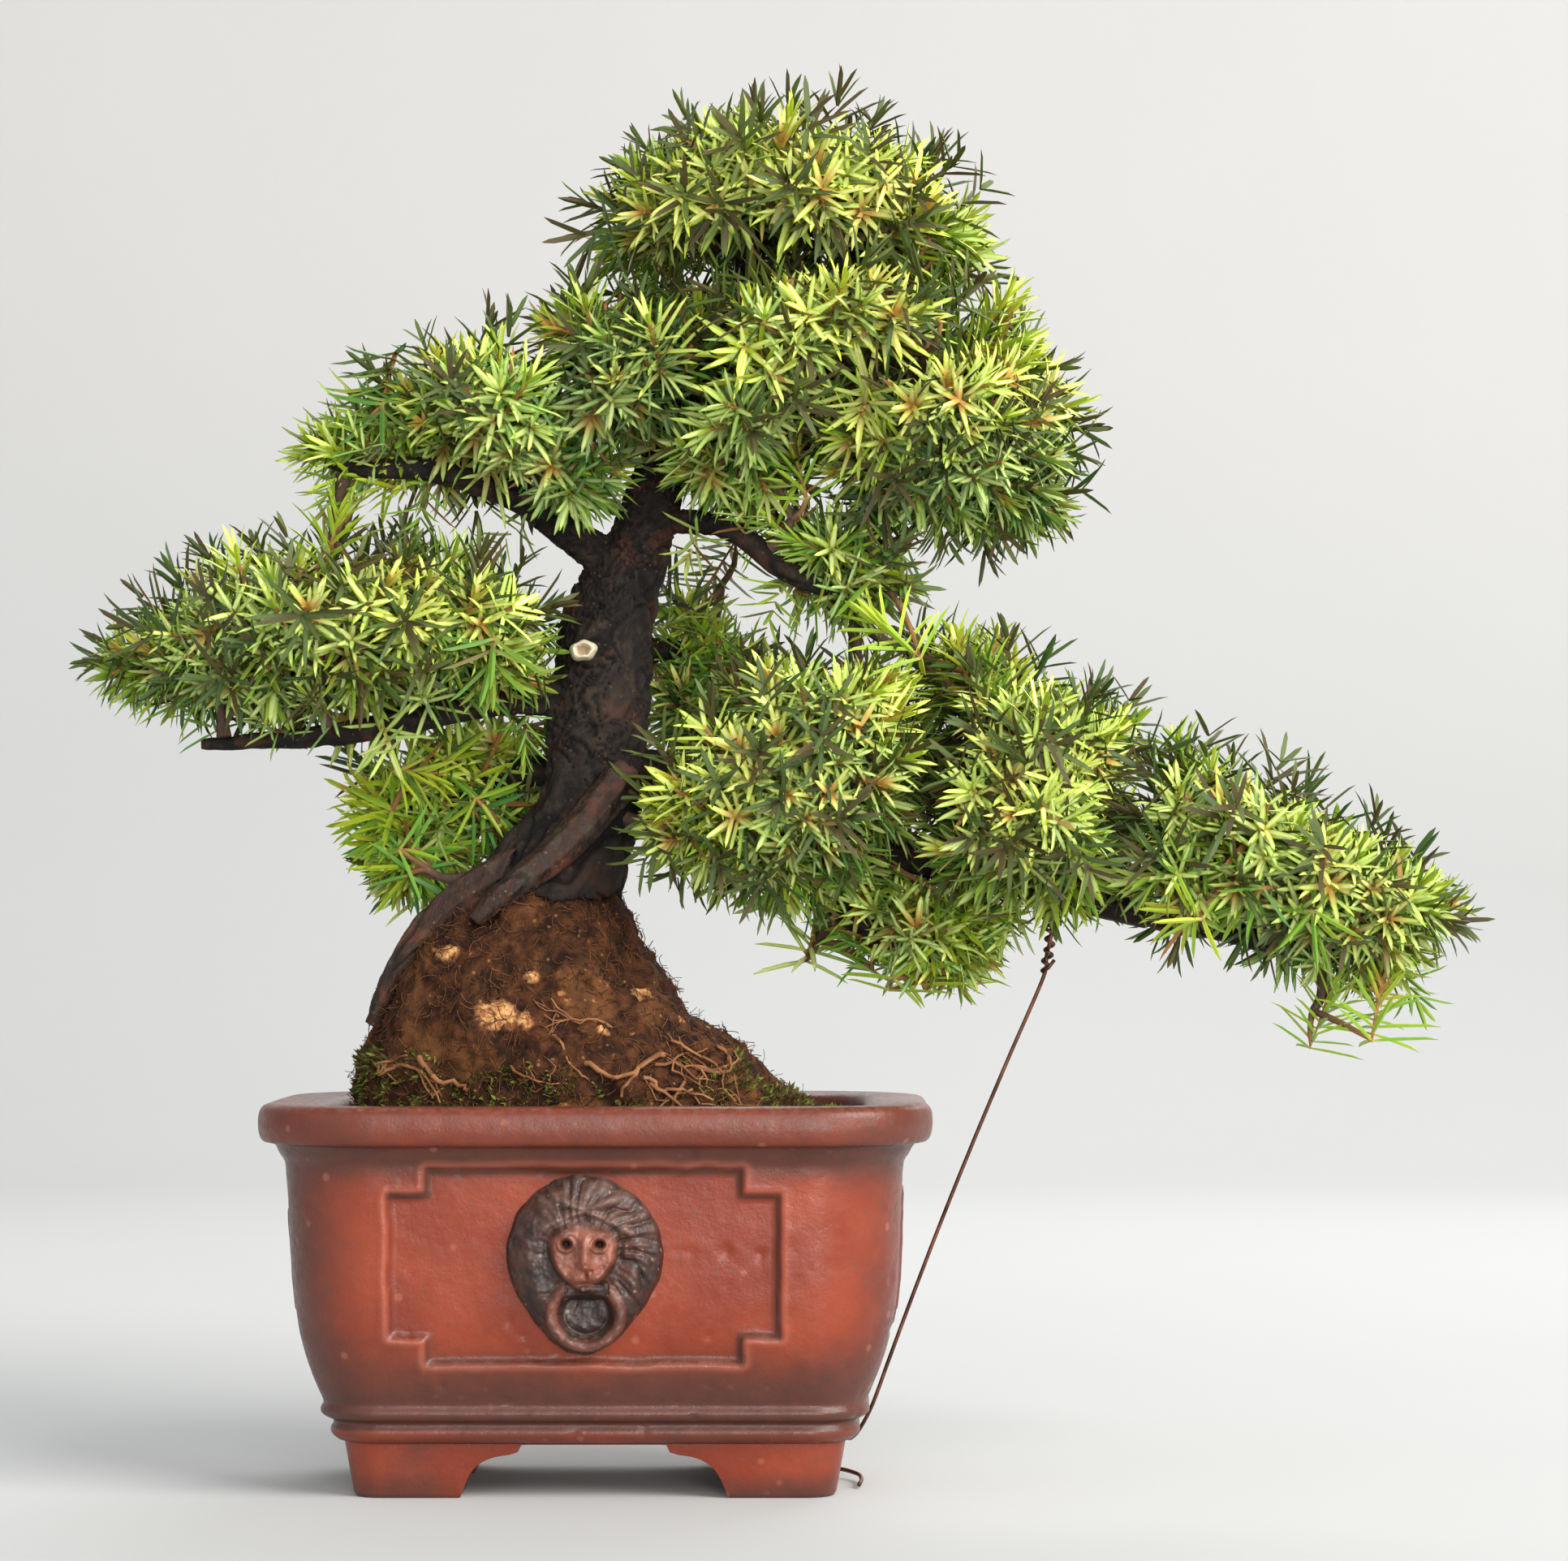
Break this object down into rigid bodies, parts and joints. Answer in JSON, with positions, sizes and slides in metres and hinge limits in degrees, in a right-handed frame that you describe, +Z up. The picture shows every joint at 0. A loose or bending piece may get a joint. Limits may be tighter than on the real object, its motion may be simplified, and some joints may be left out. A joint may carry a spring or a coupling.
{
  "type": "bonsai tree in pot",
  "caption": "Small needle juniper bonsai on a tall root mound, with one long falling branch held by a wire, in a rectangular unglazed clay pot on low bracket feet.",
  "frame": {"origin": "on the ground, under the middle of the whole object's length and depth", "axes": "+Z up; +X towards the tip of the long falling branch; -Y is the front of the pot"},
  "size_m": [0.1898, 0.0712, 0.1899],
  "materials": {
    "red_clay": "unglazed, satin",
    "brown_clay": "unglazed, satin",
    "mesh_plastic": "matte",
    "copper_wire": "dark, annealed",
    "soil": "rough, crumbly",
    "peat": "rough, fibrous",
    "moss": "soft",
    "bark": "flaky",
    "root_bark": "thin, rough",
    "cut_wood": "dry",
    "needles": "waxy"
  },
  "bodies": {
    "root": {"branch_cascade": "bark", "branch_cascade_lower": "bark", "branch_crown_back": "bark", "branch_crown_left": "bark", "branch_crown_right": "bark", "branch_left_back": "bark", "branch_left_low": "bark", "branch_left_upper": "bark", "branch_right_back": "bark", "branch_right_upper": "bark", "drain_mesh": "mesh_plastic", "foliage_apex": "needles", "foliage_cascade_back": "needles", "foliage_cascade_middle": "needles", "foliage_cascade_near": "needles", "foliage_cascade_tip": "needles", "foliage_cascade_under": "needles", "foliage_crown_back": "needles", "foliage_crown_left": "needles", "foliage_crown_middle": "needles", "foliage_crown_right": "needles", "foliage_left_back": "needles", "foliage_left_low": "needles", "foliage_left_upper": "needles", "foliage_right_back": "needles", "foliage_right_hanging": "needles", "guy_wire": "copper_wire", "lion_mask_back": "brown_clay", "lion_mask_front": "brown_clay", "mesh_clip": "copper_wire", "moss_back": "moss", "moss_front": "moss", "moss_left": "moss", "moss_right": "moss", "pot": "red_clay", "potting_soil": "soil", "pruned_stub": "cut_wood", "root_front": "root_bark", "root_left": "root_bark", "root_mound": "peat", "trunk": "bark"}
  },
  "joints": []
}
